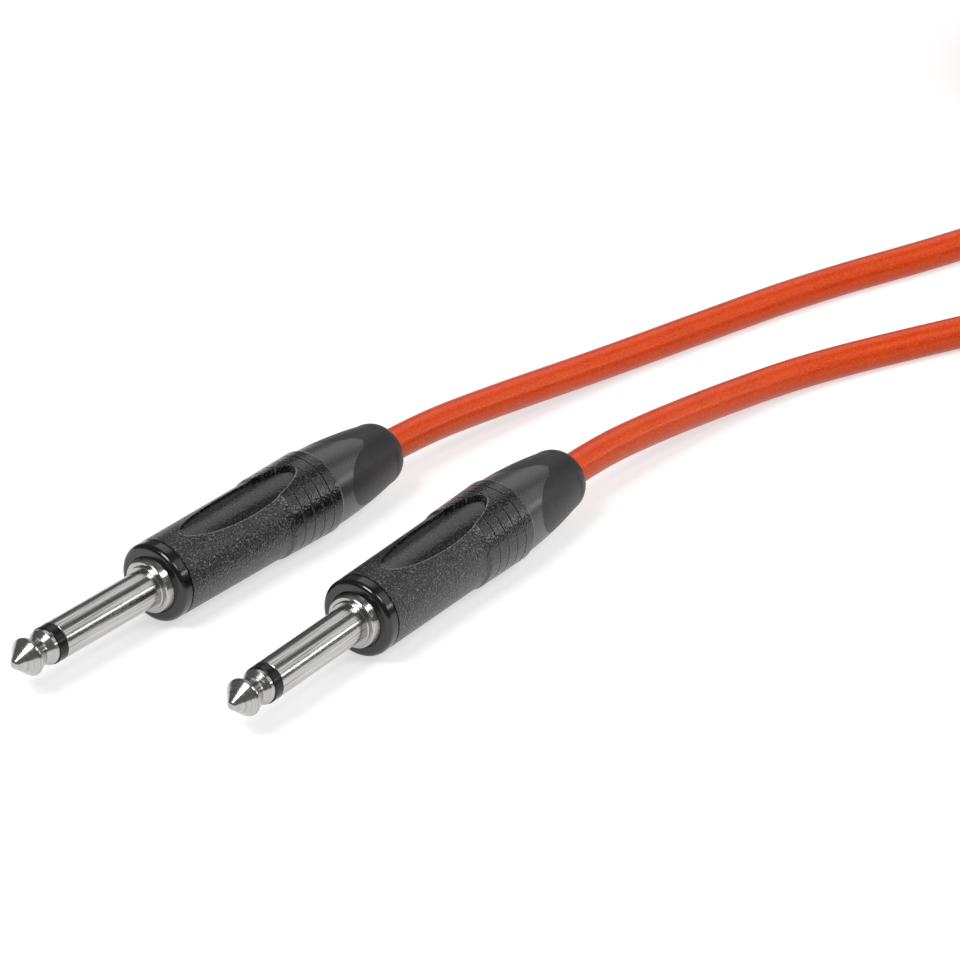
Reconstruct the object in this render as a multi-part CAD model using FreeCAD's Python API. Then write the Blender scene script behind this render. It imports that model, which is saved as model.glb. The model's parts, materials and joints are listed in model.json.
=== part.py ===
import FreeCAD, Part
import math
import os

# Instrument cable: two straight 6.35 mm mono phone plugs, one at each end of a 3 m
# screened cable whose spare length is folded into a tied hank.  Millimetres, +Z up,
# everything lying on z = 0.  A plug is drawn on its own axis, which is +Y here: y = 0
# is the front face of its collar, the tip points to -Y and the cable leaves towards +Y.
# It is then placed by the mouth of its boot.

V = FreeCAD.Vector
ORIGIN, Y, Z = V(0, 0, 0), V(0, 1, 0), V(0, 0, 1)
OVER = 1.0                # how far a cutter runs past what it cuts

# ---- clearances ----
running_gap = 0.10        # gland in the shell's thread bore, chuck in the shell
cable_gap = 0.20          # cable through the chuck, the gland and the boot
seat_gap = 0.15           # end faces of pieces that move apart
cone_gap = 0.13           # chuck jaws in the gland's cone
contact_gap = 0.05        # between rod, tube, sleeve and carrier

# ---- finger: tip, insulating ring and sleeve ----
finger_length = 30.5      # tip to the collar's front face
sleeve_d = 6.35
sleeve_chamfer = 0.12
tip_length = 7.5
tip_ball_at = 3.3         # from the tip's end to its widest ring
tip_ball_round = 0.35     # half the length of the rounding on the widest ring
tip_neck_at = 5.45
tip_neck_d = 4.6
tip_neck_length = 0.3
tip_nose_d = 1.9
tip_nose_length = 0.5
tip_rim = 0.75            # length of the cylinder behind the rear cone
tip_rim_inset = 0.2       # that cylinder is this much slimmer than the sleeve
ring_width = 1.75
ring_inset = 0.025        # the ring is this much slimmer than the sleeve
rod_d = 2.0
core_tube_d = 4.2

# ---- collar that shows in front of the shell, and the flange behind it ----
collar_front_d = 8.84
collar_rear_d = 9.48
collar_proud = 1.3
collar_shelf = 0.575      # the step between sleeve and collar stands out this far
collar_step = 0.45
collar_chamfer = 0.15
flange_thickness = 1.5
sleeve_boss_d = 8.0
sleeve_boss_length = 4.1
boss_chamfer = 0.3

# ---- shell ----
shell_length = 38.0
shell_d = 13.6            # in front of the grip
shell_draft = 0.3         # the shell's front is this much slimmer
shell_wall = 1.2
shell_wall_front = 1.5
front_round = 0.9
front_ring_length = 1.6
front_groove = 0.3
front_groove_depth = 0.25
grip_rise = 0.3           # the grip's first band stands out this far
grip_growth = 0.2         # and the last one this much further
grip_length = 11.4
grip_ramp = 1.0           # the barrel rises to the first band over this length
grip_bands = 5
band_groove = 0.28
band_groove_depth = 0.22
rear_chamfer = 0.12
thread_step = 0.4         # the thread's bore is this much wider all round
thread_length = 8.3
thread_chamfer = 0.3
badge_length = 26.6
badge_width = 6.9
badge_depth = 0.3
badge_front = 7.8         # from the collar's face to the badge's front end
plug_roll = 6.0           # the badges lean this far off straight up, in degrees

# ---- insulating carrier and solder lugs behind the flange ----
carrier_length = 5.65
carrier_floor = 1.5
lug_thickness = 0.6
lug_drop = 0.6            # from the boss down to the sleeve's lug
lug_eye_d = 1.2
lug_eye_from_end = 1.6
tip_lug_rim = 1.2
tip_lug_width = 2.4
tip_lug_length = 6.4
sleeve_lug_width = 3.0
sleeve_lug_length = 12.0
rod_end = 1.5             # the rod stands this far out of the carrier

# ---- cable ----
cord_d = 5.5
core_d = 2.5
screen_d = 1.4
jacket_cut = 18.0         # end of the jacket, from the collar's face
core_bare = 5.2           # insulated core in front of the jacket
screen_start = 1.3        # straight run of the screen at the jacket
screen_fall = 1.7
screen_end = 1.6          # straight run on the sleeve's lug

# ---- chuck that grips the cable ----
chuck_ring_length = 3.5
chuck_overlap = 0.5       # the ring starts this far in front of the jacket's end
chuck_arm_half_angle = 55.0
chuck_arm_wall = 1.2
jaw_step = 0.2            # the jaws are this much slimmer than their ring
jaw_taper = 0.9           # their cone narrows by this much
jaw_cone_length = 3.5
jaw_inside = 4.3          # they end this far inside the shell
jaw_slot = 1.0
jaw_root = 1.0            # uncut length behind the ring
jaw_count = 4

# ---- gland nut and the soft boot moulded on it ----
gland_inset = 0.35        # below the grip's last band
gland_belly = 0.45        # the head is this much slimmer half way along
gland_taper = 1.05        # and from there to its rounded end
gland_head_length = 18.5
boot_round = 3.4          # length of the boot's rounded end
boot_lip = 0.4            # thickness of the boot's mouth round the cable
core_wall = 1.3           # boot thickness over the gland's core
core_stop = 4.0           # the gland's core ends this far inside the boot
core_chamfer = 0.5
spigot_gap = 0.4          # in front of the gland's spigot, and behind the jaws
spigot_wall = 0.45
lobe_front = 2.8          # from the gland's shoulder to the tip of each soft lobe
lobe_length = 6.2
lobe_width = 9.2
lobe_flare = 2.2
lobe_flare_width = 1.0
lobe_count = 3
gland_turn = 20.0         # one hard finger stands this far from the badge's middle

# ---- placing: where each boot ends, and how far plug b is turned ----
boot_end_a = (-15.5, 38.0)
boot_end_b = (12.6, 50.2)
turn_b = 3.7
cord_start = 4.5          # the free cable is drawn from this far inside the boot
cord_straight = 7.5       # and leaves along the plug's axis up to here
floor_gap = 0.05

# ---- hank of the put-away length ----
hank_x = 8.0
hank_y = 237.0            # middle of its near bend
hank_straight = 39.5
hank_inner_r = 18.3       # middle of the cord in the innermost turn
hank_turns_per_layer = 1.759
hank_layers = 6
hank_gap = 0.2            # between turns that lie beside each other
tie_thickness = 1.2
tie_sector = 36.0         # the tie's width, as an angle round the far bend
tie_at = 118.0            # its direction from the middle of that bend

# ---- sizes that follow from the others ----
ring_d = sleeve_d - 2 * ring_inset
collar_step_d = sleeve_d + 2 * collar_shelf
shell_front_d = shell_d - shell_draft
shell_bore_d = shell_d - 2 * shell_wall
grip_front_d = shell_d + 2 * grip_rise
grip_d = grip_front_d + 2 * grip_growth
axis_height = grip_d / 2
thread_bore_d = shell_bore_d + 2 * thread_step
chuck_d = shell_bore_d - 2 * running_gap
jaw_d = chuck_d - 2 * jaw_step
jaw_end_d = jaw_d - 2 * jaw_taper
gland_front_d = grip_d - 2 * gland_inset
gland_mid_d = gland_front_d - 2 * gland_belly
gland_rear_d = gland_mid_d - 2 * gland_taper
boot_mouth_d = cord_d + 2 * boot_lip
hank_pitch = cord_d + hank_gap

# ---- places along a plug, from the collar's face ----
tip_y = -finger_length
tip_rear = tip_y + tip_length
ring_rear = tip_rear + ring_width
flange_front = collar_proud + shell_wall_front
flange_rear = flange_front + flange_thickness
carrier_rear = flange_rear + carrier_length
shell_rear = collar_proud + shell_length
gland_front = shell_rear + seat_gap
boot_end = gland_front + gland_head_length
taper_end = boot_end - boot_round
thread_front = shell_rear - thread_length
jaw_end = shell_rear - jaw_inside
lobe_tip = gland_front + lobe_front
finger_tip = lobe_tip + lobe_length + lobe_flare
core_end = boot_end - core_stop
chuck_ring_front = jacket_cut - chuck_overlap
lug_level = -sleeve_boss_d / 2 - lug_drop

# ---- places in the hank ----
hank_outer_r = hank_inner_r + hank_turns_per_layer * hank_pitch
hank_height = hank_pitch * (hank_layers - 1) + cord_d
hank_top = tie_thickness + hank_height - cord_d / 2
hank_far_y = hank_y + hank_straight
side_x = hank_x + hank_outer_r + hank_pitch
low = cord_d / 2 + floor_gap

# ---- free cable: points of each route after the plug's axis ----
free_a = [(-13.9, 64.5, 5.6), (-11.2, 87.5, 3.3), (-6.8, 109.5, low), (-0.8, 134.5, low),
          (9.1, 161.5, low), (13.3, 177.5, low), (10.5, 195.0, low), (0.4, 208.3, 3.4),
          (-10.9, 215.1, 3.95)]
free_b = [(12.2, 73.5, 5.9), (13.4, 92.5, 3.9), (16.9, 111.5, low), (27.3, 135.0, low),
          (36.3, 153.5, low), (40.6, 173.0, low), (side_x + 0.2, 193.0, 3.8),
          (side_x, 213.0, 9.6), (side_x + 0.3, 233.0, 17.6), (side_x, 251.0, 24.2),
          (side_x - 0.8, 268.0, 31.0), (side_x - 5.2, 284.0, hank_top)]


# ------------------------------------------------------------------- shapes
def line(a, b):
    return Part.LineSegment(a, b).toShape()


def profile(corners):
    """Edges through (radius, y) corners; a third item marks the middle of an arc."""
    points = [V(c[0], c[1], 0) for c in corners]
    edges = []
    i = 0
    while i < len(points) - 1:
        if len(corners[i + 1]) == 3:
            edges.append(Part.Arc(points[i], points[i + 1], points[i + 2]).toShape())
            i += 2
        else:
            edges.append(line(points[i], points[i + 1]))
            i += 1
    return edges


def turned(edges):
    """Solid of revolution about +Y inside a closed loop of edges."""
    return Part.Face(Part.Wire(Part.__sortEdges__(edges))).revolve(ORIGIN, Y, 360)


def revolve(corners):
    return turned(profile(corners + corners[:1]))


def ring(outer_d, inner_d, front, rear):
    """Plain tube on the plug's axis; a bore of 0 leaves it solid."""
    body = Part.makeCylinder(outer_d / 2, rear - front, V(0, front, 0), Y)
    if inner_d == 0:
        return body
    bore = Part.makeCylinder(inner_d / 2, rear - front + 2 * OVER, V(0, front - OVER, 0), Y)
    return body.cut(bore)


def bar(width, length, height, front, bottom):
    """Box centred across the plug's axis."""
    return Part.makeBox(width, length, height, V(-width / 2, front, bottom))


def ellipse_arc(centre, first, second, start, stop):
    """Arc of an ellipse between two angles, from half axis first towards half axis second."""
    if second.Length > first.Length:
        return ellipse_arc(centre, second, first * -1, start - 90, stop - 90)
    curve = Part.Ellipse(centre + first, centre + second, centre)
    return Part.ArcOfEllipse(curve, math.radians(start), math.radians(stop)).toShape()


def bend_middle(start, stop):
    """Middle of a quarter circle that starts outwards and ends along the axis."""
    share = math.sin(math.radians(45))
    return (start[0] + (stop[0] - start[0]) * share, start[1] + (stop[1] - start[1]) * (1 - share), "mid")


# ----------------------------------------------------------------- contacts
def tip_contact():
    """Turned tip with its rod, which runs back through the sleeve to the solder lug."""
    nose = tip_nose_d / 2
    ball = sleeve_d / 2
    neck = tip_neck_d / 2
    rod = rod_d / 2
    ball_y = tip_y + tip_ball_at
    neck_y = tip_y + tip_neck_at
    rim = ball - sleeve_chamfer
    back = ball - tip_rim_inset
    outline = [(0, tip_y), (nose * 0.75, tip_y + tip_nose_length * 0.35, "mid")]
    outline += [(nose, tip_y + tip_nose_length), (rim, ball_y - tip_ball_round)]
    outline += [(ball, ball_y, "mid"), (rim, ball_y + tip_ball_round)]
    outline += [(neck, neck_y - tip_neck_length / 2), (neck, neck_y + tip_neck_length / 2)]
    outline += [(back, tip_rear - tip_rim), (back, tip_rear), (rod, tip_rear)]
    outline += [(rod, carrier_rear + rod_end), (0, carrier_rear + rod_end)]
    return revolve(outline)


def tip_ring():
    return ring(ring_d, rod_d + 2 * contact_gap, tip_rear, ring_rear)


def core_tube():
    return ring(core_tube_d - 2 * contact_gap, rod_d + 2 * contact_gap,
                ring_rear, carrier_rear - carrier_floor)


def sleeve_contact():
    """Sleeve, the collar round its root, the flange inside the shell and the boss."""
    sleeve = sleeve_d / 2
    step = collar_step_d / 2
    front, rear = collar_front_d / 2, collar_rear_d / 2
    flange = shell_bore_d / 2 - contact_gap
    boss = sleeve_boss_d / 2
    boss_rear = flange_rear + sleeve_boss_length
    outline = [(core_tube_d / 2, ring_rear), (sleeve - sleeve_chamfer, ring_rear)]
    outline += [(sleeve, ring_rear + sleeve_chamfer), (sleeve, -collar_step)]
    outline += [(step - collar_chamfer, -collar_step), (step, -collar_step + collar_chamfer)]
    outline += [(step, 0), (front - collar_chamfer, 0), (front, collar_chamfer)]
    outline += [(rear, collar_proud), (rear, flange_front), (flange, flange_front)]
    outline += [(flange, flange_rear), (boss, flange_rear), (boss, boss_rear - boss_chamfer)]
    outline += [(boss - boss_chamfer, boss_rear), (core_tube_d / 2, boss_rear)]
    return revolve(outline)


def sleeve_lug_blank():
    bottom = lug_level - lug_thickness
    return bar(sleeve_lug_width, sleeve_lug_length, lug_thickness, flange_rear, bottom)


def sleeve_lug():
    """Flat lug that stands back from the flange, below the axis."""
    eye_y = flange_rear + sleeve_lug_length - lug_eye_from_end
    eye = Part.makeCylinder(lug_eye_d / 2, lug_thickness + 2 * OVER,
                            V(0, eye_y, lug_level - lug_thickness - OVER), Z)
    return sleeve_lug_blank().cut(eye)


def lug_carrier():
    """Moulded cup behind the flange that keeps the rod and both lugs apart."""
    cup = ring(shell_bore_d - 2 * contact_gap, rod_d + 2 * contact_gap, flange_rear, carrier_rear)
    pocket = ring(sleeve_boss_d + 2 * contact_gap, 0, flange_rear - OVER, carrier_rear - carrier_floor)
    return cup.cut(pocket).cut(sleeve_lug_blank())


def tip_lug():
    """Eyelet on the end of the rod with a tag for the core."""
    eyelet = ring(rod_d + 2 * tip_lug_rim, rod_d, carrier_rear, carrier_rear + lug_thickness)
    tag = bar(tip_lug_width, tip_lug_length, lug_thickness, carrier_rear, core_d / 2 + contact_gap)
    return eyelet.fuse(tag).removeSplitter()


# -------------------------------------------------------------------- shell
def grip_outline():
    """(radius, y) corners of the bands, each a little thicker than the one before."""
    start = shell_rear - grip_length
    band = grip_length / grip_bands
    growth = (grip_d - grip_front_d) / 2 / grip_bands
    corners = []
    for i in range(grip_bands):
        front = start + band * i
        r = grip_front_d / 2 + growth * i
        corners += [(r, front), (r + growth, front + band - band_groove)]
        if i < grip_bands - 1:
            corners.append((r + growth - band_groove_depth, front + band - band_groove / 2))
    return corners


def shell_outline():
    """Closed (radius, y) corners of the shell before its badge is sunk."""
    front, rear = shell_front_d / 2, shell_d / 2
    mouth = collar_rear_d / 2 + running_gap
    bore, thread = shell_bore_d / 2, thread_bore_d / 2
    groove_y = collar_proud + front_round + front_ring_length - front_groove
    nose_start, nose_end = (front - front_round, collar_proud), (front, collar_proud + front_round)
    outer = [(mouth, collar_proud), nose_start, bend_middle(nose_start, nose_end), nose_end]
    outer += [(front, groove_y), (front - front_groove_depth, groove_y)]
    outer += [(front - front_groove_depth, groove_y + front_groove), (front, groove_y + front_groove)]
    outer += [(rear, shell_rear - grip_length - grip_ramp)]
    outer += grip_outline()
    inner = [(grip_d / 2 - rear_chamfer, shell_rear), (thread + thread_chamfer, shell_rear)]
    inner += [(thread, shell_rear - thread_chamfer), (thread, thread_front)]
    inner += [(bore, thread_front - (thread - bore)), (bore, flange_front), (mouth, flange_front)]
    return outer + inner


def badge_sink():
    """Oval prism from the sunk floor outwards."""
    middle = V(0, badge_front + badge_length / 2, 0)
    oval = Part.Ellipse(middle + V(0, badge_length / 2, 0), middle + V(badge_width / 2, 0, 0), middle)
    prism = Part.Face(Part.Wire([oval.toShape()])).extrude(V(0, 0, grip_d))
    floor = Part.makeCone(shell_front_d / 2 - badge_depth, shell_d / 2 - badge_depth,
                          shell_length, V(0, collar_proud, 0), Y)
    return prism.cut(floor)


def shell():
    return revolve(shell_outline()).cut(badge_sink())


# -------------------------------------------------------------------- chuck
def chuck():
    """Split clamp: two arms reach the carrier, four jaws close on the cable."""
    outer = chuck_d / 2
    bore = cord_d / 2 + cable_gap
    arm_front = carrier_rear + seat_gap
    jaw_front = chuck_ring_front + chuck_ring_length
    outline = [(bore, arm_front), (outer, arm_front), (outer, jaw_front), (jaw_d / 2, jaw_front)]
    outline += [(jaw_d / 2, jaw_end - jaw_cone_length), (jaw_end_d / 2, jaw_end), (bore, jaw_end)]
    body = revolve(outline)
    body = body.cut(ring(2 * (outer - chuck_arm_wall), 0, arm_front - OVER, chuck_ring_front))
    reach = 2 * outer
    half = reach * math.tan(math.radians(90 - chuck_arm_half_angle))
    for side in (1, -1):
        corners = [V(0, 0, 0), V(reach, 0, side * half), V(-reach, 0, side * half), V(0, 0, 0)]
        window = Part.Face(Part.makePolygon(corners))
        window = window.extrude(V(0, chuck_ring_front - arm_front + OVER, 0))
        body = body.cut(window.translated(V(0, arm_front - OVER, 0)))
    slot = Part.makeBox(jaw_slot, jaw_end - jaw_front, reach, V(-jaw_slot / 2, jaw_front + jaw_root, 0))
    step = 360 / jaw_count
    for i in range(jaw_count):
        body = body.cut(slot.rotated(ORIGIN, Y, step / 2 + step * i))
    return body


# ----------------------------------------------------------- gland and boot
def head_block():
    """Whole head behind the shell: the gland's fingers and the boot together."""
    front, rear, mouth = gland_front_d / 2, gland_rear_d / 2, boot_mouth_d / 2
    middle_y = (gland_front + taper_end) / 2
    taper = profile([(front, gland_front), (gland_mid_d / 2, middle_y, "mid"), (rear, taper_end)])
    rounding = ellipse_arc(V(mouth, taper_end, 0), V(0, boot_round, 0), V(rear - mouth, 0, 0), 0, 90)
    rest = profile([(mouth, boot_end), (0, boot_end), (0, gland_front), (front, gland_front)])
    return turned(taper + [rounding] + rest)


def gland_core():
    """Hard tube under the boot, which follows the head a wall's thickness in."""
    front, middle, rear = (d / 2 - core_wall for d in (gland_front_d, gland_mid_d, gland_rear_d))
    middle_y = (gland_front + taper_end) / 2
    outline = [(0, gland_front), (front, gland_front), (middle, middle_y), (rear, core_end - core_chamfer)]
    return revolve(outline + [(rear - core_chamfer, core_end), (0, core_end)])


def soft_zone():
    """Space of the boot: rounded lobes between the hard fingers, and all behind them."""
    half = lobe_width / 2
    flare = half + lobe_flare_width
    root = lobe_tip + lobe_length
    back = boot_end + OVER
    cap = ellipse_arc(V(0, root, 0), V(0, -lobe_length, 0), V(half, 0, 0), -90, 90)
    corners = [(half, root), (flare, finger_tip), (flare, back), (-flare, back), (-flare, finger_tip)]
    edges = [cap] + profile(corners + [(-half, root)])
    lobe = Part.Face(Part.Wire(Part.__sortEdges__(edges))).extrude(V(0, 0, gland_front_d))
    zone = Part.makeCylinder(gland_front_d, back - finger_tip, V(0, finger_tip, 0), Y)
    step = 360 / lobe_count
    for i in range(lobe_count):
        zone = zone.fuse(lobe.rotated(ORIGIN, Y, step / 2 + step * i))
    return zone


def gland():
    """Nut with its threaded spigot, cone for the jaws and three pointed fingers."""
    head = head_block().cut(soft_zone()).fuse(gland_core())
    spigot_front = thread_front + spigot_gap
    spigot_d = thread_bore_d - 2 * running_gap
    jaw_r = jaw_end_d / 2 + cone_gap
    slope = (jaw_d - jaw_end_d) / 2 / jaw_cone_length
    mouth_r = min(jaw_r + slope * (jaw_end - spigot_front), spigot_d / 2 - spigot_wall)
    mouth_y = jaw_end - (mouth_r - jaw_r) / slope
    cavity = [(0, spigot_front - OVER), (mouth_r, spigot_front - OVER), (mouth_r, mouth_y)]
    cavity += [(jaw_r, jaw_end), (jaw_r, jaw_end + spigot_gap), (0, jaw_end + spigot_gap)]
    body = head.fuse(ring(spigot_d, 0, spigot_front, gland_front)).cut(revolve(cavity))
    return body.cut(ring(cord_d + 2 * cable_gap, 0, jaw_end - OVER, boot_end + OVER)).removeSplitter()


def boot():
    body = head_block().common(soft_zone()).cut(gland_core())
    return body.cut(ring(cord_d + 2 * cable_gap, 0, gland_front, boot_end + OVER))


# -------------------------------------------------------------------- cable
def tube(points, diameter, name=None):
    """Straight runs joined by tangent arcs as large as the runs allow."""
    edges, radii, last = [], [], points[0]
    for before, corner, after in zip(points, points[1:], points[2:]):
        go, leave = corner - before, after - corner
        half_turn = go.getAngle(leave) / 2
        setback = 0.45 * min(go.Length, leave.Length)
        radius = setback / math.tan(half_turn)
        start = corner - go.normalize() * setback
        stop = corner + leave.normalize() * setback
        inward = ((start + stop) * 0.5 - corner).normalize()
        middle = corner + inward * (radius / math.cos(half_turn) - radius)
        edges += [line(last, start), Part.Arc(start, middle, stop).toShape()]
        radii.append(round(radius, 1))
        last = stop
    edges.append(line(last, points[-1]))
    path = Part.Wire(edges)
    section = Part.Wire([Part.Circle(points[0], points[1] - points[0], diameter / 2).toShape()])
    if name:
        print(name, "length %.1f" % path.Length, "radii", radii)
    return path.makePipeShell([section], True, True)


def jacket_end():
    return ring(cord_d, 0, jacket_cut, boot_end - cord_start)


def core_wire():
    return ring(core_d, 0, jacket_cut - core_bare, jacket_cut)


def screen_tail():
    """Twisted screen that drops from the jacket's end to the sleeve's lug."""
    high = -(core_d + screen_d) / 2 - contact_gap
    on_lug = lug_level + screen_d / 2
    fall_start = jacket_cut - screen_start
    fall_end = fall_start - screen_fall
    route = [(jacket_cut, high), (fall_start, high), (fall_end, on_lug), (fall_end - screen_end, on_lug)]
    return tube([V(0, y, z) for y, z in route], screen_d)


# --------------------------------------------------------------------- hank
def hank_section(grown):
    """Cross-section of the bundle at its +X side, about the middle of a bend."""
    inner, outer = hank_inner_r - cord_d / 2, hank_outer_r + cord_d / 2
    bottom, top = tie_thickness, tie_thickness + hank_height
    cut = cord_d / 4
    corners = [(inner, bottom + cut), (inner + cut, bottom), (outer - cut, bottom), (outer, bottom + cut)]
    corners += [(outer, top - cut), (outer - cut, top), (inner + cut, top), (inner, top - cut)]
    middle_r, middle_z = (inner + outer) / 2, (bottom + top) / 2
    moved = [V(r + math.copysign(grown, r - middle_r), 0, z + math.copysign(grown, z - middle_z))
             for r, z in corners]
    return Part.Face(Part.makePolygon(moved + moved[:1]))


def hank():
    """Closed ring with two straight sides, as large as the bundle of turns."""
    section = hank_section(0)
    near, far = V(hank_x, hank_y, 0), V(hank_x, hank_far_y, 0)
    bend = section.revolve(ORIGIN, Z, 180)
    side = section.extrude(V(0, hank_straight, 0))
    other_side = section.rotated(ORIGIN, Z, 180).extrude(V(0, hank_straight, 0))
    body = bend.translated(far).fuse(bend.rotated(ORIGIN, Z, 180).translated(near))
    return body.fuse(side.translated(near)).fuse(other_side.translated(near)).removeSplitter()


def hank_tie():
    """Strap round the whole bundle, over a short sector of the far bend."""
    strap = hank_section(tie_thickness).revolve(ORIGIN, Z, tie_sector)
    strap = strap.cut(hank_section(0).revolve(ORIGIN, Z, 360))
    return strap.rotated(ORIGIN, Z, tie_at - tie_sector / 2).translated(V(hank_x, hank_far_y, 0))


# ------------------------------------------------------------------ placing
def place(shape, mouth, turn, roll):
    """Roll a plug piece about its axis, lay it down and bring its boot to the mouth."""
    shape = shape.rotated(ORIGIN, Y, roll)
    shape = shape.translated(V(0, -boot_end, 0)).rotated(ORIGIN, Z, turn)
    return shape.translated(V(mouth[0], mouth[1], axis_height))


def route(mouth, turn, free):
    """Two points on the plug's axis, then the free points."""
    a = math.radians(turn)
    along = V(-math.sin(a), math.cos(a), 0)
    middle = V(mouth[0], mouth[1], axis_height)
    return [middle - along * cord_start, middle + along * cord_straight] + [V(*p) for p in free]


def plug_pieces():
    """Name, solid and roll of each plug piece."""
    return [("tip_contact", tip_contact(), 0), ("tip_ring", tip_ring(), 0), ("core_tube", core_tube(), 0),
            ("sleeve_contact", sleeve_contact(), 0), ("sleeve_lug", sleeve_lug(), plug_roll),
            ("lug_carrier", lug_carrier(), plug_roll), ("tip_lug", tip_lug(), plug_roll),
            ("shell", shell(), plug_roll), ("chuck", chuck(), plug_roll), ("gland", gland(), gland_turn),
            ("boot", boot(), gland_turn), ("jacket_end", jacket_end(), 0), ("core_wire", core_wire(), 0),
            ("screen_tail", screen_tail(), plug_roll)]


def export(name, shape):
    if not shape.isValid():
        print("not a valid solid:", name)
    shape.exportStep("parts/" + name + ".step")


def main():
    os.makedirs("parts", exist_ok=True)
    pieces = plug_pieces()
    for end, mouth, turn in (("a", boot_end_a, 0), ("b", boot_end_b, turn_b)):
        for name, solid, roll in pieces:
            export(name + "_" + end, place(solid, mouth, turn, roll))
    export("cord_run_a", tube(route(boot_end_a, 0, free_a), cord_d, "cord_run_a"))
    export("cord_run_b", tube(route(boot_end_b, turn_b, free_b), cord_d, "cord_run_b"))
    export("cord_hank", hank())
    export("hank_tie", hank_tie())


main()
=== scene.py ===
import bpy
import bmesh
import json
import math
from mathutils import Matrix, Vector


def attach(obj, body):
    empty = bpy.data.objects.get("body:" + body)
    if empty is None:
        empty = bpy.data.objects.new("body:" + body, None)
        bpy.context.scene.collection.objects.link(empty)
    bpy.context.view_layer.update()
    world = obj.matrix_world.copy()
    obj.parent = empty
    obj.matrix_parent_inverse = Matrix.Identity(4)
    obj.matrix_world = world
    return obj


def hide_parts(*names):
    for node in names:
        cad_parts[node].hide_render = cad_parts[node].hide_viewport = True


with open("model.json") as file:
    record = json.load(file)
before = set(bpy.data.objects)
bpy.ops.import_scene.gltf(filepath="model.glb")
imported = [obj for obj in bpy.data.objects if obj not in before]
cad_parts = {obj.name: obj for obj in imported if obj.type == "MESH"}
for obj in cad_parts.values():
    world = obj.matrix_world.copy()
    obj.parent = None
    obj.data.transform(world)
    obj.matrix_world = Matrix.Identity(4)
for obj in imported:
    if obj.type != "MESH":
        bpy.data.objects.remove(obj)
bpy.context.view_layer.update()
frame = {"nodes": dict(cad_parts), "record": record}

scene = bpy.context.scene
nodes = frame["nodes"]

MM = 0.001
CORD_D = 5.5


# ------------------------------------------------------------------ camera
CAMERA_AZIMUTH, CAMERA_ELEVATION = 39.64, 29.66   # degrees round and above the plugs
CAMERA_DISTANCE = 1.0
CAMERA_TARGET = Vector((-0.00508, 0.04978, 0.0))
CAMERA_LENS, CAMERA_SENSOR = 227.57, 36.0


def make_camera():
    """The photograph's view: looking down and along the plugs."""
    azimuth = math.radians(CAMERA_AZIMUTH)
    elevation = math.radians(CAMERA_ELEVATION)
    back = Vector((math.cos(elevation) * math.sin(azimuth),
                   -math.cos(elevation) * math.cos(azimuth),
                   math.sin(elevation)))
    data = bpy.data.cameras.new("camera")
    data.sensor_fit = "HORIZONTAL"
    data.sensor_width = CAMERA_SENSOR
    data.lens = CAMERA_LENS
    camera = bpy.data.objects.new("camera", data)
    scene.collection.objects.link(camera)
    camera.location = CAMERA_TARGET + back * CAMERA_DISTANCE
    camera.rotation_euler = (-back).to_track_quat("-Z", "Y").to_euler()
    scene.camera = camera


# ------------------------------------------- cable, in the CAD source's millimetres
MOUTH_A, TURN_A = Vector((-15.5, 38.0, 7.3)), 0.0
MOUTH_B, TURN_B = Vector((12.6, 50.2, 7.3)), 3.7
ALONG = (-4.5, 7.5)               # two points on a plug's axis, from its boot's mouth
LOW = 2.8                         # middle of the cord where it lies on the floor
HANK_X, HANK_Y, HANK_STRAIGHT = 8.0, 237.0, 39.5
HANK_INNER_R, HANK_PITCH, HANK_LAYERS, TURNS_PER_LAYER = 18.3, 5.7, 6, 1.759
HANK_OUTER_R = HANK_INNER_R + HANK_PITCH * TURNS_PER_LAYER
HANK_LOW = 3.95                   # middle of the cord in the lowest layer
HANK_JOIN = 210.0                 # where the first turn starts, round the near bend
HANK_RISE = 0.055                 # share of a turn that a change of layer takes
CORNER = 30.0                     # angle between two points of a bend
SIDE_X = HANK_X + HANK_OUTER_R + HANK_PITCH   # where plug b's end climbs beside the hank
FREE_A = [(-13.9, 64.5, 5.6), (-11.2, 87.5, 3.3), (-6.8, 109.5, LOW), (-0.8, 134.5, LOW),
          (9.1, 161.5, LOW), (13.3, 177.5, LOW), (10.5, 195.0, LOW), (0.4, 208.3, 3.4),
          (-12.7, 216.3, 3.5)]
FREE_B = [(12.2, 73.5, 5.9), (13.4, 92.5, 3.9), (16.9, 111.5, LOW), (27.3, 135.0, LOW),
          (36.3, 153.5, LOW), (40.6, 173.0, LOW), (SIDE_X + 0.2, 193.0, 3.8),
          (SIDE_X, 213.0, 9.6), (SIDE_X + 0.3, 233.0, 17.6), (SIDE_X, 251.0, 24.2),
          (SIDE_X - 0.8, 268.0, 31.0)]


def axis_points(mouth, turn):
    """Two points that make the cord leave along its plug's axis."""
    a = math.radians(turn)
    along = Vector((-math.sin(a), math.cos(a), 0))
    return [mouth + along * s for s in ALONG]


def hank_place(angle, shift, turn):
    """Corner of a turn: its bend is centred that far along, and r shrinks or grows by layer."""
    layer = min(int(turn / TURNS_PER_LAYER), HANK_LAYERS - 1)
    share = turn / TURNS_PER_LAYER - layer
    inward = share if layer % 2 == 0 else 1 - share
    r = (HANK_OUTER_R - inward * TURNS_PER_LAYER * HANK_PITCH) / math.cos(math.radians(CORNER / 2))
    height = 0.0
    for change in range(1, HANK_LAYERS):
        height += min(max(0.5 + 0.5 * (turn - change * TURNS_PER_LAYER) / HANK_RISE, 0.0), 1.0)
    a = math.radians(angle)
    return Vector((HANK_X + r * math.cos(a), HANK_Y + shift + r * math.sin(a),
                   HANK_LOW + HANK_PITCH * height))


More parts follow.
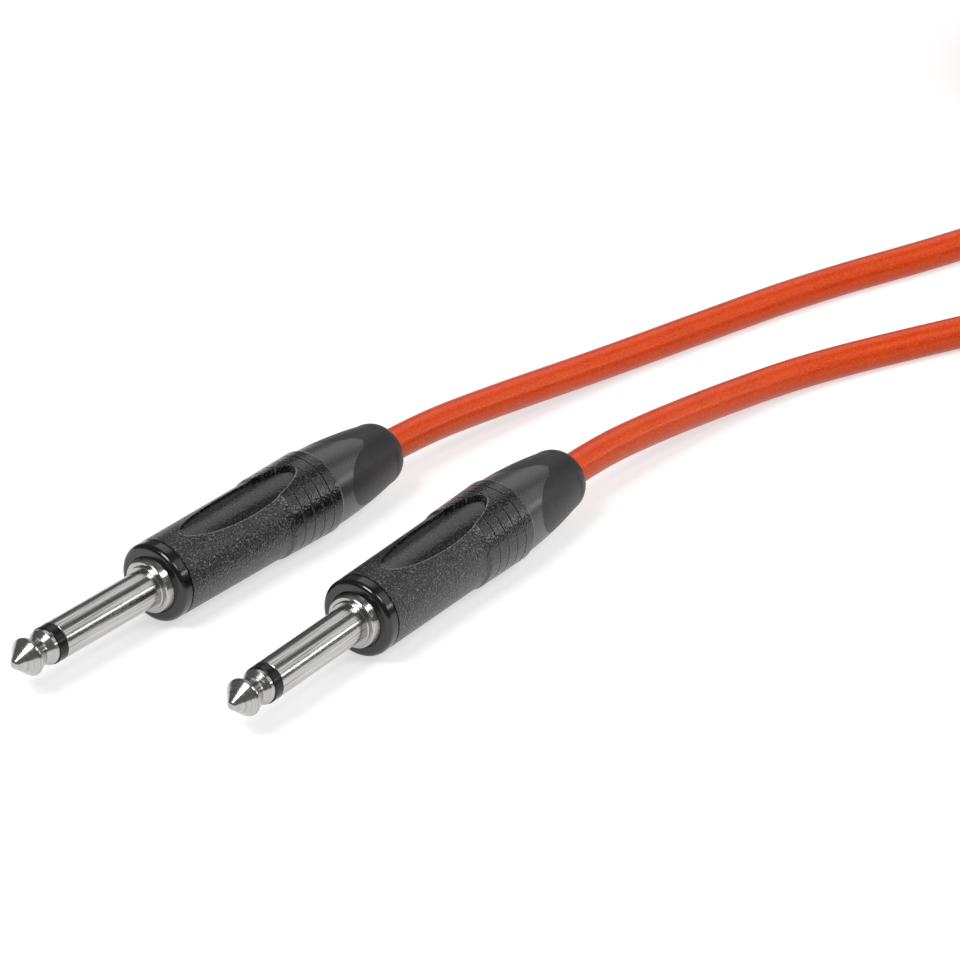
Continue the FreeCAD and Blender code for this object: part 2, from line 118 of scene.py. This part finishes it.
def hank_points():
    """Corners of the folded turns, clockwise, layer on layer from the bottom up."""
    degree = math.radians(1) * (HANK_INNER_R + HANK_OUTER_R) / 2   # length of a middle bend's degree
    turn_length = 360 * degree + 2 * HANK_STRAIGHT
    # First and last angle, how far along the bend's centre is, and length of straights so far
    legs = [(195, 165, 0, 0),
            (195, -15, HANK_STRAIGHT, HANK_STRAIGHT),
            (15, -135, 0, 2 * HANK_STRAIGHT)]
    points = []
    turns = 0
    while True:
        for first, last, shift, straights in legs:
            for i in range(round((first - last) / CORNER) + 1):
                angle = first - CORNER * i
                turn = turns + ((HANK_JOIN - angle) * degree + straights) / turn_length
                if turn >= TURNS_PER_LAYER * HANK_LAYERS:
                    return points
                points.append(hank_place(angle, shift, turn))
        turns += 1


def make_cable():
    """The whole cord, from plug a along the floor, round the hank and back to plug b."""
    curve = bpy.data.curves.new("cable_jacket", "CURVE")
    curve.dimensions = "3D"
    curve.resolution_u = 12
    curve.bevel_depth = 1.0       # a point's own radius then gives the cord's, in metres
    curve.bevel_resolution = 8
    curve.use_fill_caps = True
    points = axis_points(MOUTH_A, TURN_A) + [Vector(p) for p in FREE_A] + hank_points()
    points += [Vector(p) for p in reversed(FREE_B)] + axis_points(MOUTH_B, TURN_B)[::-1]
    spline = curve.splines.new("NURBS")
    spline.points.add(len(points) - 1)
    for place, p in zip(spline.points, points):
        place.co = (p.x * MM, p.y * MM, p.z * MM, 1.0)
        place.radius = CORD_D / 2 * MM
    spline.order_u = 3
    spline.use_endpoint_u = True
    cable = bpy.data.objects.new("cable_jacket", curve)
    scene.collection.objects.link(cable)
    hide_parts("cord_run_a", "cord_run_b", "cord_hank")
    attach(cable, "cable")
    return cable


# --------------------------------------------------------------------- tie
TIE_AT, TIE_HALF = 118.0, 15.0    # its direction round the far bend, and half its width in degrees
TIE_GAP, TIE_THICK = 0.15, 0.9    # off the cable, and through the strap
TIE_TAIL = 26.0                   # the free end lies over the strap for this length
TIE_ACROSS = 12                   # grid steps across the strap
TIE_STEP = 1.2                    # and the length of one along it
TIE_CORNER = 4                    # steps round each corner of the bundle
TIE_EDGE_THINNING = 0.45          # share of the thickness that the edges lose
TIE_RIPPLE, TIE_PRESSED = 0.10, 0.4   # waviness of the free end, and the strap's share of it
TIE_LAP_GAP = 0.12                # between the strap and its free end
TIE_CLIMB = 8                     # grid steps over which the free end climbs onto the strap
TIE_ROUNDED, TIE_TIP = 6, 0.3     # steps of the rounded end, and its last share of the width


def tie_path():
    """(radius, height, outward) once round the bundle's cross-section."""
    inner, outer = HANK_INNER_R - CORD_D / 2, HANK_OUTER_R + CORD_D / 2
    bottom, top = HANK_LOW - CORD_D / 2, HANK_LOW + HANK_PITCH * (HANK_LAYERS - 1) + CORD_D / 2
    round_r = CORD_D / 2
    sides = [((inner, top - round_r), (inner, bottom + round_r), (-1, 0)),
             ((inner + round_r, bottom), (outer - round_r, bottom), (0, -1)),
             ((outer, bottom + round_r), (outer, top - round_r), (1, 0)),
             ((outer - round_r, top), (inner + round_r, top), (0, 1))]
    path = []
    for start, stop, out in sides:
        length = math.dist(start, stop)
        count = max(2, round(length / TIE_STEP))
        for i in range(count + 1):
            s = i / count
            path.append((start[0] + (stop[0] - start[0]) * s,
                         start[1] + (stop[1] - start[1]) * s, out))
        turned = (-out[1], out[0])
        pivot = (stop[0] - out[0] * round_r, stop[1] - out[1] * round_r)
        for i in range(1, TIE_CORNER):
            a = math.pi / 2 * i / TIE_CORNER
            away = (out[0] * math.cos(a) + turned[0] * math.sin(a),
                    out[1] * math.cos(a) + turned[1] * math.sin(a))
            path.append((pivot[0] + away[0] * round_r, pivot[1] + away[1] * round_r, away))
    return path


def tie_ring(mesh, r, z, out, lift, narrow, lap):
    """Cross-section of the strap: its inner face, then its outer one back again."""
    ring = []
    for side in (0, 1):
        for j in range(TIE_ACROSS + 1):
            v = (j if side == 0 else TIE_ACROSS - j) / TIE_ACROSS * 2 - 1
            swell = TIE_THICK * side * (1 - TIE_EDGE_THINNING * abs(v) ** 6)
            ripple = TIE_RIPPLE * math.sin(2 * math.pi * (z + r) / HANK_PITCH)
            off = lift + swell + ripple * (TIE_PRESSED + (1 - TIE_PRESSED) * lap)
            a = math.radians(TIE_AT + TIE_HALF * narrow * v)
            rr, zz = r + out[0] * off, z + out[1] * off
            place = Vector((HANK_X + rr * math.cos(a),
                            HANK_Y + HANK_STRAIGHT + rr * math.sin(a), zz))
            ring.append(mesh.verts.new(place * MM))
    return ring


def tie_rings(mesh):
    """Every cross-section, once round the bundle and on over its start as the free end."""
    path = tie_path()
    tail = round(TIE_TAIL / TIE_STEP)
    rows = [(p, 0.0) for p in path] + [(path[i], 1.0) for i in range(tail)]
    rings = []
    for k, ((r, z, out), lap) in enumerate(rows):
        climbed = min(max((k - len(path) + TIE_CLIMB / 2) / TIE_CLIMB, 0.0), 1.0)
        lift = TIE_GAP + climbed * (TIE_THICK + TIE_LAP_GAP)
        left = (len(rows) - 1 - k) / TIE_ROUNDED
        narrow = 1.0 if left > 1 else math.sqrt(max(1 - (1 - left) ** 2, TIE_TIP ** 2))
        rings.append(tie_ring(mesh, r, z, out, lift, narrow, lap))
    return rings


def make_tie():
    """Hook-and-loop strap round the bundle, with its end pressed down on itself."""
    mesh = bmesh.new()
    rings = tie_rings(mesh)
    for ring, after in zip(rings, rings[1:]):
        for i in range(len(ring)):
            j = (i + 1) % len(ring)
            mesh.faces.new((ring[i], ring[j], after[j], after[i]))
    mesh.faces.new(rings[0][::-1])
    mesh.faces.new(rings[-1])
    bmesh.ops.recalc_face_normals(mesh, faces=mesh.faces)
    data = bpy.data.meshes.new("tie_strap")
    mesh.to_mesh(data)
    mesh.free()
    data.shade_smooth()
    tie = bpy.data.objects.new("tie_strap", data)
    scene.collection.objects.link(tie)
    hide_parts("hank_tie")
    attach(tie, "cable")
    return tie


# ------------------------------------------------------------ node materials
class Look:
    """A node material being built on Blender's own shader."""

    def __init__(self, name, **values):
        self.material = bpy.data.materials.new(name)
        self.material.use_nodes = True
        self.tree = self.material.node_tree
        self.shader = self.tree.nodes["Principled BSDF"]
        self.output = self.tree.nodes["Material Output"]
        self.set(self.shader, **values)

    def set(self, node, **values):
        for key, value in values.items():
            socket = node.inputs[key.replace("_", " ")]
            self.feed(socket, value)

    def feed(self, socket, value):
        if isinstance(value, bpy.types.NodeSocket):
            self.tree.links.new(value, socket)
        elif isinstance(value, tuple) and len(value) == 3 and socket.type == "RGBA":
            socket.default_value = (*value, 1.0)
        else:
            socket.default_value = value

    def node(self, kind, **settings):
        made = self.tree.nodes.new("ShaderNode" + kind)
        for key, value in settings.items():
            setattr(made, key, value)
        return made

    def math(self, operation, a, b=0.0, c=0.0):
        made = self.node("Math", operation=operation)
        for socket, value in zip(made.inputs, (a, b, c)):
            self.feed(socket, value)
        return made.outputs[0]

    def span(self, value, low, high, to_low=0.0, to_high=1.0):
        """Value between low and high, brought to between to_low and to_high."""
        made = self.node("MapRange")
        self.set(made, Value=value, From_Min=low, From_Max=high, To_Min=to_low, To_Max=to_high)
        return made.outputs[0]

    def mix(self, share, a, b):
        made = self.node("Mix", data_type="RGBA")
        for index, value in ((0, share), (6, a), (7, b)):
            self.feed(made.inputs[index], value)
        return made.outputs[2]

    def point(self, x, y, z):
        made = self.node("CombineXYZ")
        self.set(made, X=x, Y=y, Z=z)
        return made.outputs[0]

    def noise(self, vector, scale, detail=2.0, rough=0.5):
        made = self.node("TexNoise")
        self.set(made, Vector=vector, Scale=scale, Detail=detail, Roughness=rough)
        return made.outputs["Fac"]

    def cells(self, vector, scale):
        """Distance to the nearest of scattered points."""
        made = self.node("TexVoronoi")
        self.set(made, Vector=vector, Scale=scale)
        return made.outputs["Distance"]

    def bump(self, height, strength, depth, below=None):
        """Bump of a real depth in millimetres, on top of another one."""
        made = self.node("Bump")
        self.set(made, Height=height, Strength=strength, Distance=depth * MM)
        if below is not None:
            self.set(made, Normal=below)
        return made.outputs[0]

    def place(self, origin=(0, 0, 0), turn=0.0):
        """x, y, z in millimetres from an origin, with y along a turned axis."""
        mapping = self.node("Mapping", vector_type="TEXTURE")
        self.set(mapping, Vector=self.node("TexCoord").outputs["Object"], Location=tuple(origin),
                 Rotation=(0, 0, turn), Scale=(MM, MM, MM))
        self.at = mapping.outputs[0]
        split = self.node("SeparateXYZ")
        self.set(split, Vector=self.at)
        self.x, self.y, self.z = split.outputs
        return self

    def angle(self):
        """Angle round the axis, as a share of a turn."""
        return self.math("MULTIPLY_ADD", self.math("ARCTAN2", self.x, self.z), 1 / (2 * math.pi), 0.5)

    def radius(self):
        """Distance from the axis."""
        return self.math("SQRT", self.math("ADD", self.math("MULTIPLY", self.x, self.x),
                                           self.math("MULTIPLY", self.z, self.z)))

    def inverse(self, share):
        return self.math("SUBTRACT", 1.0, share)

    def near(self, value, place, inside, outside, peak):
        """Peak within inside of a place, fading to nothing at outside."""
        return self.span(self.math("ABSOLUTE", self.math("SUBTRACT", value, place)),
                         inside, outside, peak, 0.0)


# ------------------------- a plug, in millimetres along its axis from the collar's face
SLEEVE_MIDDLE = 11.725            # from the collar's face to the mount's point
PLUG_ROLL = 6.0                   # of the shell and its badge, in degrees
TIP_REAR = -23.0
COLLAR_STEP = -0.5                # the collar's lathe rings start here, before its face
FRONT_RING_END, GRIP_START, SHELL_REAR = 3.8, 27.9, 39.3
GRIP_BANDS = 5
BAND_HIGHLIGHT = 0.90                  # where on a band the painted highlight at its groove's edge is
BADGE_RIM = 1.03                  # and the badge's painted rim highlight, where 1 is the oval itself
BADGE_MIDDLE, BADGE_HALF_LENGTH, BADGE_HALF_WIDTH = 21.1, 13.3, 3.45
THREAD_PITCH = 1.0


def plug_frames():
    """{end: (point on the collar's face, turn about Z)} from the record's mounts."""
    found = {}
    for mount in frame["record"]["mounts"]:
        tipwards = Vector(mount["axis"])
        origin = Vector(mount["pos_m"]) - tipwards * SLEEVE_MIDDLE * MM
        found[mount["name"][-1]] = (origin, math.atan2(tipwards.x, -tipwards.y))
    return found


# --------------------------------------------------------------- materials
# The dark and light tone of each
NICKEL = (0.27, 0.268, 0.265), (0.66, 0.65, 0.64)
INSULATOR = (0.006, 0.006, 0.007), (0.012, 0.012, 0.013)
# The shell's light tone is used only for painted glints and painted edge highlights
COAT_AND_HIGHLIGHT = (0.003, 0.003, 0.0035), (0.23, 0.23, 0.235)
GLAND = (0.030, 0.030, 0.032), (0.050, 0.050, 0.052)
BOOT = (0.008, 0.008, 0.0085), (0.020, 0.020, 0.021)
JACKET = (0.74, 0.028, 0.003), (0.80, 0.038, 0.004)
JACKET_MOTTLE, JACKET_SPECK = (0.90, 0.125, 0.014), (0.35, 0.03, 0.01)
JACKET_TINT = (1.0, 0.68, 0.32)   # of its gloss
COPPER = (0.55, 0.22, 0.10), (0.85, 0.42, 0.24)
STRAP = (0.008, 0.008, 0.009), (0.035, 0.035, 0.037)
TINNED = (0.50, 0.47, 0.40), (0.66, 0.63, 0.56)
CARRIER = (0.015, 0.015, 0.016), (0.03, 0.03, 0.03)
CHUCK = (0.62, 0.61, 0.57), (0.74, 0.73, 0.69)
CORE = (0.76, 0.75, 0.70), (0.85, 0.84, 0.80)


def nickel(name, origin, turn):
    """Turned and plated: drawn streaks on the sleeve, lathe rings on the tip and collar."""
    look = Look(name, Metallic=1.0).place(origin, turn)
    drawn_out = look.point(look.math("MULTIPLY", look.x, 5.0), look.math("MULTIPLY", look.y, 0.08),
                           look.math("MULTIPLY", look.z, 5.0))
    ringed = look.point(0.0, look.math("MULTIPLY", look.y, 6.0),
                        look.math("MULTIPLY", look.radius(), 2.5))
    streak = look.noise(drawn_out, scale=1.0, detail=4.0, rough=0.6)
    rings = look.noise(ringed, scale=1.0, detail=3.0, rough=0.7)
    blotch = look.noise(look.at, scale=1.3, detail=4.0, rough=0.6)
    on_tip = look.span(look.y, TIP_REAR - 0.05, TIP_REAR + 0.05, 1.0, 0.0)
    on_collar = look.span(look.y, COLLAR_STEP - 0.1, COLLAR_STEP)
    turned = look.math("MAXIMUM", on_tip, on_collar)
    grained = look.math("ADD", look.math("MULTIPLY", streak, look.inverse(turned)),
                        look.math("MULTIPLY", look.span(rings, 0.0, 1.0, 0.2, 0.8), turned))
    look.set(look.shader, Base_Color=look.mix(look.span(grained, 0.32, 0.68), *NICKEL),
             Roughness=look.math("ADD", look.span(streak, 0.3, 0.75, 0.10, 0.20),
                                 look.span(blotch, 0.4, 0.7, 0.0, 0.08)))
    drawn = look.bump(streak, strength=look.span(turned, 0.0, 1.0, 0.35, 0.05), depth=0.02)
    pitted = look.bump(blotch, strength=0.12, depth=0.02, below=drawn)
    look.set(look.shader, Normal=look.bump(rings, strength=look.span(turned, 0.0, 1.0, 0.03, 0.8),
                                           depth=0.03, below=pitted))
    return look


def black_insulator(name, origin, turn):
    """Gloss black moulding with a faint grain."""
    look = Look(name, Specular_IOR_Level=0.3).place(origin, turn)
    grain = look.noise(look.at, scale=2.6, detail=3.0)
    look.set(look.shader, Base_Color=look.mix(grain, *INSULATOR),
             Roughness=look.span(grain, 0.3, 0.7, 0.16, 0.3),
             Normal=look.bump(grain, strength=0.2, depth=0.03))
    return look


def badge_oval(look):
    """Distance across from the badge's middle line, and a measure that is under 1 inside its oval."""
    roll = math.radians(PLUG_ROLL)
    across = look.math("ADD", look.math("MULTIPLY", look.x, math.cos(roll)),
                       look.math("MULTIPLY", look.z, -math.sin(roll)))
    u = look.math("DIVIDE", across, BADGE_HALF_WIDTH)
    v = look.math("DIVIDE", look.math("SUBTRACT", look.y, BADGE_MIDDLE), BADGE_HALF_LENGTH)
    return across, look.math("ADD", look.math("MULTIPLY", u, u), look.math("MULTIPLY", v, v))


def painted_edge_highlights(look, across, oval, badge, on_grip):
    """Painted highlights: a light line at one edge of each grip band, and round the badge's rim on its
    upper side, the side towards the camera.
    """
    # Painted highlights, not wear: thin light lines by the groove edges, and on the badge rim lighter
    # towards the top and the camera side
    band = (SHELL_REAR - GRIP_START) / GRIP_BANDS
    along = look.math("FRACT", look.math("DIVIDE", look.math("SUBTRACT", look.y, GRIP_START), band))
    bands = look.math("MULTIPLY", on_grip, look.near(along, BAND_HIGHLIGHT, 0.03, 0.07, 0.8))
    rim = look.math("MULTIPLY", look.near(oval, BADGE_RIM, 0.02, 0.06, 0.9),
                    look.span(across, -1.0, 2.0))
    return look.math("MAXIMUM", look.math("MULTIPLY", bands, look.inverse(badge)),
                     look.math("MULTIPLY", rim, look.span(look.z, 0.0, 1.0)))


def shell_coat(name, origin, turn):
    """Coarse black coat with painted glints in its flecks and painted highlights on its edges, glossy on
    the front ring and finer on the grip and the bare badge.
    """
    look = Look(name, Specular_IOR_Level=0.75).place(origin, turn)
    pits = look.cells(look.at, scale=2.4)
    fleck = look.noise(look.at, scale=3.4, detail=2.0, rough=0.6)
    coated = look.span(look.y, FRONT_RING_END - 0.15, FRONT_RING_END + 0.05)
    on_grip = look.span(look.y, GRIP_START - 0.3, GRIP_START)
    across, oval = badge_oval(look)
    badge = look.math("MULTIPLY", look.span(oval, 0.94, 1.0, 1.0, 0.0), look.span(look.z, 0.0, 1.0))
    finer = look.math("MAXIMUM", look.math("MULTIPLY", badge, 0.75),
                      look.math("MULTIPLY", on_grip, 0.65))
    coarse = look.math("MULTIPLY", coated, look.inverse(finer))
    # Painted highlights on the grip bands' groove edges and on the badge's rim
    edges = painted_edge_highlights(look, across, oval, badge, on_grip)
    # Painted glints: the coarse coat's flecks take the light tone, as do the painted edge highlights
    painted_highlights = look.math("MAXIMUM", look.math("MULTIPLY", coarse, look.span(fleck, 0.58, 0.66)),
                     look.math("MULTIPLY", edges, look.span(fleck, 0.35, 0.55)))
    height = look.math("ADD", look.span(pits, 0.0, 0.9, 0.0, 0.6), look.math("MULTIPLY", fleck, 0.5))
    look.set(look.shader, Base_Color=look.mix(painted_highlights, *COAT_AND_HIGHLIGHT),
             Roughness=look.math("ADD", look.span(coarse, 0.0, 1.0, 0.12, 0.24),
                                 look.span(fleck, 0.3, 0.7, 0.0, 0.12)),
             Normal=look.bump(height, strength=look.span(coarse, 0.0, 1.0, 0.02, 1.0), depth=0.15))
    return look


def gland_plastic(name, origin, turn):
    """Satin moulding with a fine grain, and the screw thread on its spigot."""
    look = Look(name, Specular_IOR_Level=0.9).place(origin, turn)
    grain = look.noise(look.at, scale=5.5, detail=3.0)
    cloud = look.noise(look.at, scale=0.35, detail=2.0)
    screw = look.math("ADD", look.math("DIVIDE", look.y, THREAD_PITCH), look.angle())
    thread = look.math("PINGPONG", look.math("FRACT", screw), 0.5)
    spigot = look.span(look.y, SHELL_REAR - 0.1, SHELL_REAR + 0.1, 1.0, 0.0)
    fine = look.bump(grain, strength=0.18, depth=0.05)
    look.set(look.shader, Base_Color=look.mix(cloud, *GLAND),
             Roughness=look.span(grain, 0.3, 0.7, 0.24, 0.36),
             Normal=look.bump(thread, strength=spigot, depth=1.2, below=fine))
    return look


def boot_rubber(name, origin, turn):
    """Soft matt moulding with a pebbled grain."""
    look = Look(name, Sheen_Weight=0.05, Sheen_Roughness=0.5).place(origin, turn)
    grain = look.noise(look.at, scale=4.0, detail=4.0, rough=0.6)
    cloud = look.noise(look.at, scale=0.5, detail=2.0)
    look.set(look.shader, Base_Color=look.mix(cloud, *BOOT),
             Roughness=look.span(grain, 0.3, 0.7, 0.38, 0.56),
             Normal=look.bump(grain, strength=0.5, depth=0.06))
    return look


def cable_jacket():
    """Satin PVC, slightly wavy, with a fine mottle and a few dark specks."""
    look = Look("cable_jacket", Specular_IOR_Level=0.8, Specular_Tint=JACKET_TINT).place()
    wave = look.noise(look.at, scale=0.16, detail=2.0)
    grain = look.noise(look.at, scale=3.2, detail=4.0, rough=0.6)
    specks = look.span(look.cells(look.at, scale=0.42), 0.035, 0.075, 1.0, 0.0)
    base = look.mix(look.span(wave, 0.35, 0.65), *JACKET)
    mottled = look.mix(look.span(grain, 0.42, 0.66, 0.0, 0.75), base, JACKET_MOTTLE)
    soft = look.bump(wave, strength=0.08, depth=0.4)
    look.set(look.shader, Base_Color=look.mix(look.math("MULTIPLY", specks, 0.55), mottled, JACKET_SPECK),
             Roughness=look.span(grain, 0.3, 0.7, 0.28, 0.40),
             Normal=look.bump(grain, strength=0.22, depth=0.05, below=soft))
    return look


def plain_grain(name, tones, rough, metallic=0.0):
    """Moulded or plated inner pieces: two tones, uneven gloss and a fine bump."""
    look = Look(name, Metallic=metallic).place()
    grain = look.noise(look.at, scale=3.0, detail=3.0)
    cloud = look.noise(look.at, scale=0.375, detail=2.0)
    look.set(look.shader, Base_Color=look.mix(cloud, *tones),
             Roughness=look.span(grain, 0.3, 0.7, rough - 0.06, rough + 0.08),
             Normal=look.bump(grain, strength=0.2, depth=0.04))
    return look


def copper_screen(name, origin, turn):
    """Fine copper strands laid side by side in a slow twist."""
    look = Look(name, Metallic=1.0).place(origin, turn)
    lay = look.math("ADD", look.math("MULTIPLY", look.y, 5.0), look.math("MULTIPLY", look.x, 9.0))
    strand = look.math("PINGPONG", look.math("FRACT", lay), 0.5)
    tone = look.noise(look.at, scale=2.0, detail=3.0)
    look.set(look.shader, Base_Color=look.mix(tone, *COPPER),
             Roughness=look.span(tone, 0.3, 0.7, 0.22, 0.36),
             Normal=look.bump(strand, strength=0.8, depth=0.12))
    return look


def tie_fabric():
    """Woven black strap: two crossing sets of threads under a short pile."""
    look = Look("tie_fabric", Sheen_Weight=0.35, Sheen_Roughness=0.4).place()
    up = look.math("MULTIPLY", look.z, 1.5)
    along = look.math("MULTIPLY", look.math("ADD", look.x, look.y), 1.1)
    warp = look.math("PINGPONG", look.math("FRACT", up), 0.5)
    weft = look.math("PINGPONG", look.math("FRACT", along), 0.5)
    pile = look.noise(look.at, scale=5.0, detail=4.0, rough=0.7)
    height = look.math("ADD", look.math("MULTIPLY", warp, weft), look.math("MULTIPLY", pile, 0.4))
    look.set(look.shader, Base_Color=look.mix(pile, *STRAP),
             Roughness=look.span(pile, 0.3, 0.7, 0.80, 0.95),
             Normal=look.bump(height, strength=0.8, depth=0.35))
    return look


def give(obj, look):
    obj.data.materials.clear()
    obj.data.materials.append(look.material)


def dress(looks, ending=""):
    """Each CAD node whose name has that ending gets its slot's material, if it is among these."""
    for part in frame["record"]["subparts"]:
        if part["node"].endswith(ending) and part["material_slot"] in looks:
            give(nodes[part["node"]], looks[part["material_slot"]])


def plug_looks(end, origin, turn):
    """Every material that follows a plug's own axis."""
    return {"nickel": nickel("nickel_" + end, origin, turn),
            "black_insulator": black_insulator("insulator_" + end, origin, turn),
            "shell_coat": shell_coat("shell_coat_" + end, origin, turn),
            "gland_plastic": gland_plastic("gland_plastic_" + end, origin, turn),
            "boot_rubber": boot_rubber("boot_rubber_" + end, origin, turn),
            "copper_screen": copper_screen("copper_screen_" + end, origin, turn)}


# ------------------------------------------------------------------- stage
FLOOR_HALF = 3.0
FLOOR_TONE, FLOOR_GLOW = 0.56, 0.62      # lit tone, and what the camera and reflections add
ROOM_STRENGTH = 0.16
MIDDLE = Vector((0.0, 0.02, 0.0))        # what every lamp faces
LAMP_DISTANCE = 1.1
SIDE_SHARE, ALONG_SHARE = 0.743, 0.669   # of a line of sight, across and along the plugs


def make_floor():
    """Pale floor that reads as white to the camera and in reflections, and keeps shadows."""
    mesh = bpy.data.meshes.new("floor")
    corners = [(-FLOOR_HALF, -FLOOR_HALF, 0), (FLOOR_HALF, -FLOOR_HALF, 0),
               (FLOOR_HALF, FLOOR_HALF, 0), (-FLOOR_HALF, FLOOR_HALF, 0)]
    mesh.from_pydata(corners, [], [(0, 1, 2, 3)])
    floor = bpy.data.objects.new("floor", mesh)
    scene.collection.objects.link(floor)
    look = Look("floor_paper", Base_Color=(FLOOR_TONE, FLOOR_TONE, FLOOR_TONE), Roughness=0.9,
                Specular_IOR_Level=0.1)
    paths = look.node("LightPath").outputs
    seen = look.math("MAXIMUM", look.math("MAXIMUM", paths["Is Camera Ray"], paths["Is Glossy Ray"]),
                     paths["Is Transmission Ray"])
    glow = look.node("Emission")
    look.set(glow, Color=(1.0, 1.0, 1.0), Strength=look.math("MULTIPLY", seen, FLOOR_GLOW))
    both = look.node("AddShader")
    look.tree.links.new(look.shader.outputs[0], both.inputs[0])
    look.tree.links.new(glow.outputs[0], both.inputs[1])
    look.tree.links.new(both.outputs[0], look.output.inputs["Surface"])
    floor.data.materials.append(look.material)


def make_world():
    """Plain, even light from all round."""
    world = bpy.data.worlds.new("studio")
    scene.world = world
    world.use_nodes = True
    room = world.node_tree.nodes["Background"]
    room.inputs["Color"].default_value = (1.0, 1.0, 1.0, 1.0)
    room.inputs["Strength"].default_value = ROOM_STRENGTH


def mirrored(angle):
    """Where the plugs' sides mirror to the camera; 0 is level on the right, 90 is straight up."""
    a = math.radians(angle)
    away = Vector((SIDE_SHARE * math.cos(a), ALONG_SHARE, SIDE_SHARE * math.sin(a)))
    return MIDDLE + LAMP_DISTANCE * away


def lamp(name, place, size, radiance):
    """Soft area lamp set square to the plugs, seen by the object but not by the camera."""
    data = bpy.data.lights.new(name, "AREA")
    data.shape = "RECTANGLE"
    data.size, data.size_y = size
    data.energy = radiance * math.pi * size[0] * size[1]
    made = bpy.data.objects.new(name, data)
    away = (place - MIDDLE).normalized()
    across = Vector((0.0, 1.0, 0.0)).cross(away).normalized()
    turned = Matrix((across, away.cross(across), away)).transposed().to_4x4()
    made.matrix_world = Matrix.Translation(place) @ turned
    made.visible_camera = False
    scene.collection.objects.link(made)


def make_lights():
    """Three boxes that the plugs mirror to the camera, and two that only rough surfaces catch."""
    lamp("left_box", mirrored(117), size=(0.66, 0.8), radiance=0.80)
    lamp("right_box", mirrored(52), size=(0.46, 0.8), radiance=0.80)
    lamp("strip", mirrored(25), size=(0.10, 0.8), radiance=4.5)
    lamp("sheen_box", MIDDLE + Vector((0.66, 0.04, 0.88)), size=(0.30, 0.30), radiance=9.0)
    lamp("key", MIDDLE + Vector((0.0, -0.61, 0.91)), size=(0.40, 0.40), radiance=13.0)


# -------------------------------------------------------------------- make
make_camera()
cable = make_cable()
tie = make_tie()
for end, (origin, turn) in plug_frames().items():
    dress(plug_looks(end, origin, turn), "_" + end)
shared = {"cable_jacket": cable_jacket(),
          "tinned_brass": plain_grain("tinned_brass", TINNED, rough=0.3, metallic=1.0),
          "carrier_plastic": plain_grain("carrier_plastic", CARRIER, rough=0.5),
          "chuck_plastic": plain_grain("chuck_plastic", CHUCK, rough=0.45),
          "core_insulation": plain_grain("core_insulation", CORE, rough=0.45),
          "tie_fabric": tie_fabric()}
dress(shared)
give(cable, shared["cable_jacket"])
give(tie, shared["tie_fabric"])
make_floor()
make_world()
make_lights()
scene.view_settings.view_transform = "Standard"
